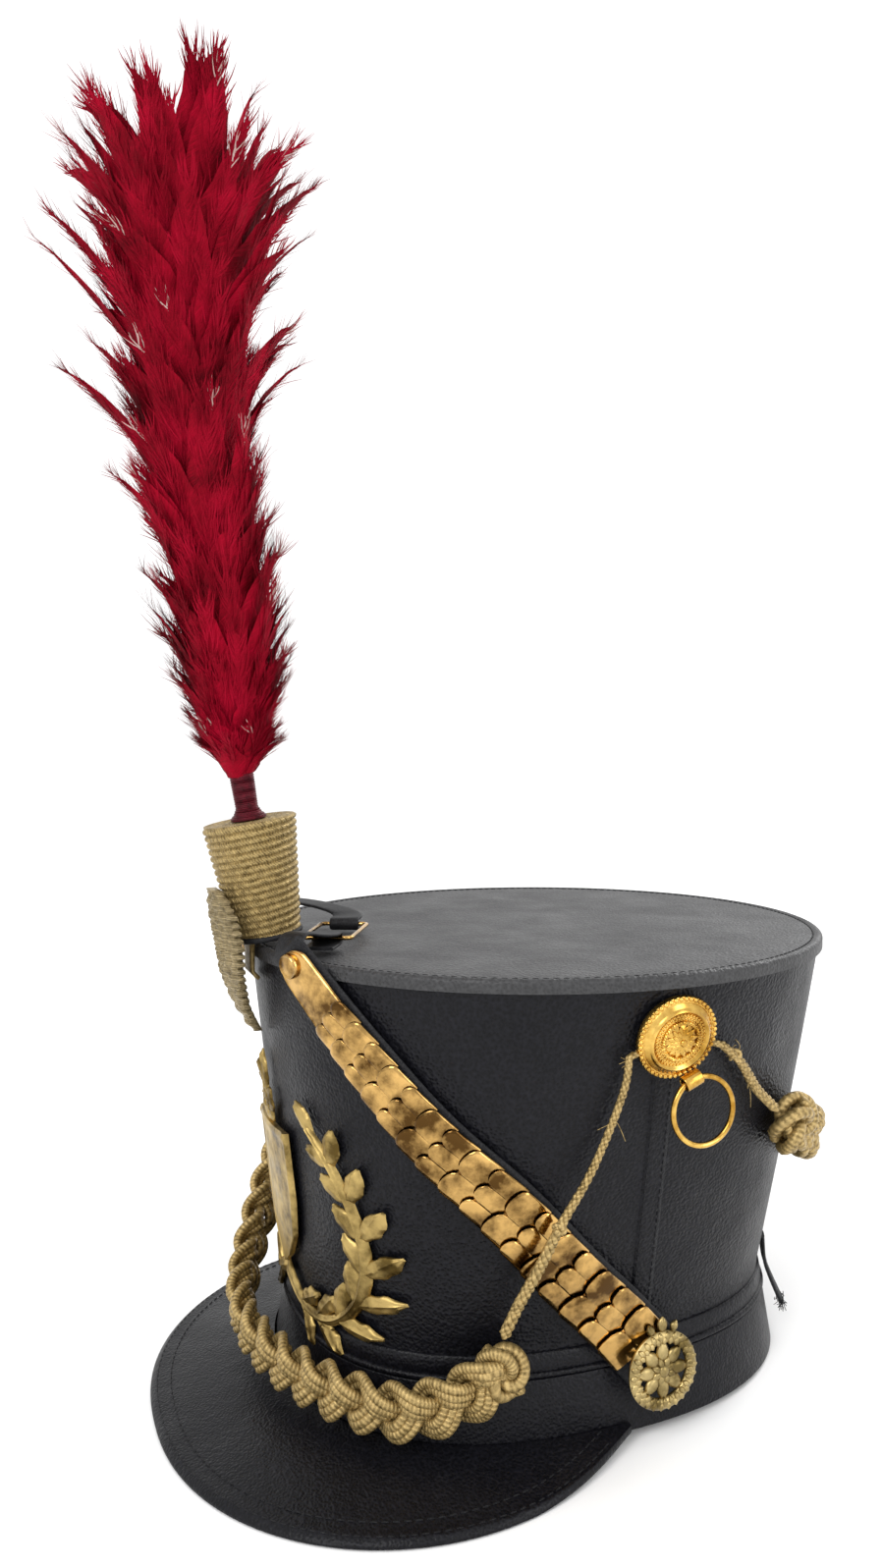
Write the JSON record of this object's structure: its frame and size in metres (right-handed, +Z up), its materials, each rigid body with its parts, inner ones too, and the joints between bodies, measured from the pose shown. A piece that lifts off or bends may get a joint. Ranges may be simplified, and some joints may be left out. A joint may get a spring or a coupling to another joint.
{
  "type": "shako hat",
  "caption": "Stiff leather shako that widens upwards, with peak, scaled chin straps, front plate, plaited festoons, cockade and tall feather plume; small side rings hang on bosses.",
  "frame": {"origin": "On the floor under the middle of the box around the hat without its cords, as it rests by itself on its peak edge and the back of its band.", "axes": "+Z up; the front of the hat faces -Y; the wearer's left is +X."},
  "size_m": [0.2434, 0.2946, 0.5289],
  "materials": {
    "black_leather": "satin",
    "brass": "polished",
    "gilt": "polished",
    "gold_thread": "satin",
    "feather": "matte"
  },
  "bodies": {
    "hat": {"crown_wall": "black_leather", "crown_top": "black_leather", "lower_band": "black_leather", "upper_band": "black_leather", "peak": "black_leather", "back_tab": "black_leather", "crest_plate": "brass", "cockade": "gold_thread", "plume_cup": "gold_thread", "plume": "feather", "chin_strap_left": "black_leather", "chin_strap_right": "black_leather", "wire_loop": "brass", "scale_left_01": "brass", "scale_left_02": "brass", "scale_left_03": "brass", "scale_left_04": "brass", "scale_left_05": "brass", "scale_left_06": "brass", "scale_left_07": "brass", "scale_left_08": "brass", "scale_left_09": "brass", "scale_left_10": "brass", "scale_left_11": "brass", "scale_left_12": "brass", "scale_left_13": "brass", "scale_left_14": "brass", "scale_left_15": "brass", "scale_left_16": "brass", "end_plate_left": "brass", "scale_roundel_left": "brass", "side_boss_left": "gilt", "rear_cord_left": "gold_thread", "scale_right_01": "brass", "scale_right_02": "brass", "scale_right_03": "brass", "scale_right_04": "brass", "scale_right_05": "brass", "scale_right_06": "brass", "scale_right_07": "brass", "scale_right_08": "brass", "scale_right_09": "brass", "scale_right_10": "brass", "scale_right_11": "brass", "scale_right_12": "brass", "scale_right_13": "brass", "scale_right_14": "brass", "scale_right_15": "brass", "scale_right_16": "brass", "end_plate_right": "brass", "scale_roundel_right": "brass", "side_boss_right": "gilt", "rear_cord_right": "gold_thread", "front_cord_left": "gold_thread", "front_cord_right": "gold_thread", "front_plait": "gold_thread", "rear_plait": "gold_thread"},
    "left_ring": {"ring_left": "gilt"},
    "right_ring": {"ring_right": "gilt"}
  },
  "joints": [
    {"name": "ring_left_swing", "type": "hinge", "parent": "hat", "child": "left_ring", "pos_m": [0.11543, 0.03171, 0.13704], "axis": [0, -0.9415, -0.3371], "range_deg": [-15, 110]},
    {"name": "ring_right_swing", "type": "hinge", "parent": "hat", "child": "right_ring", "pos_m": [-0.11543, 0.03171, 0.13704], "axis": [0, 0.9415, 0.3371], "range_deg": [-15, 110]}
  ]
}
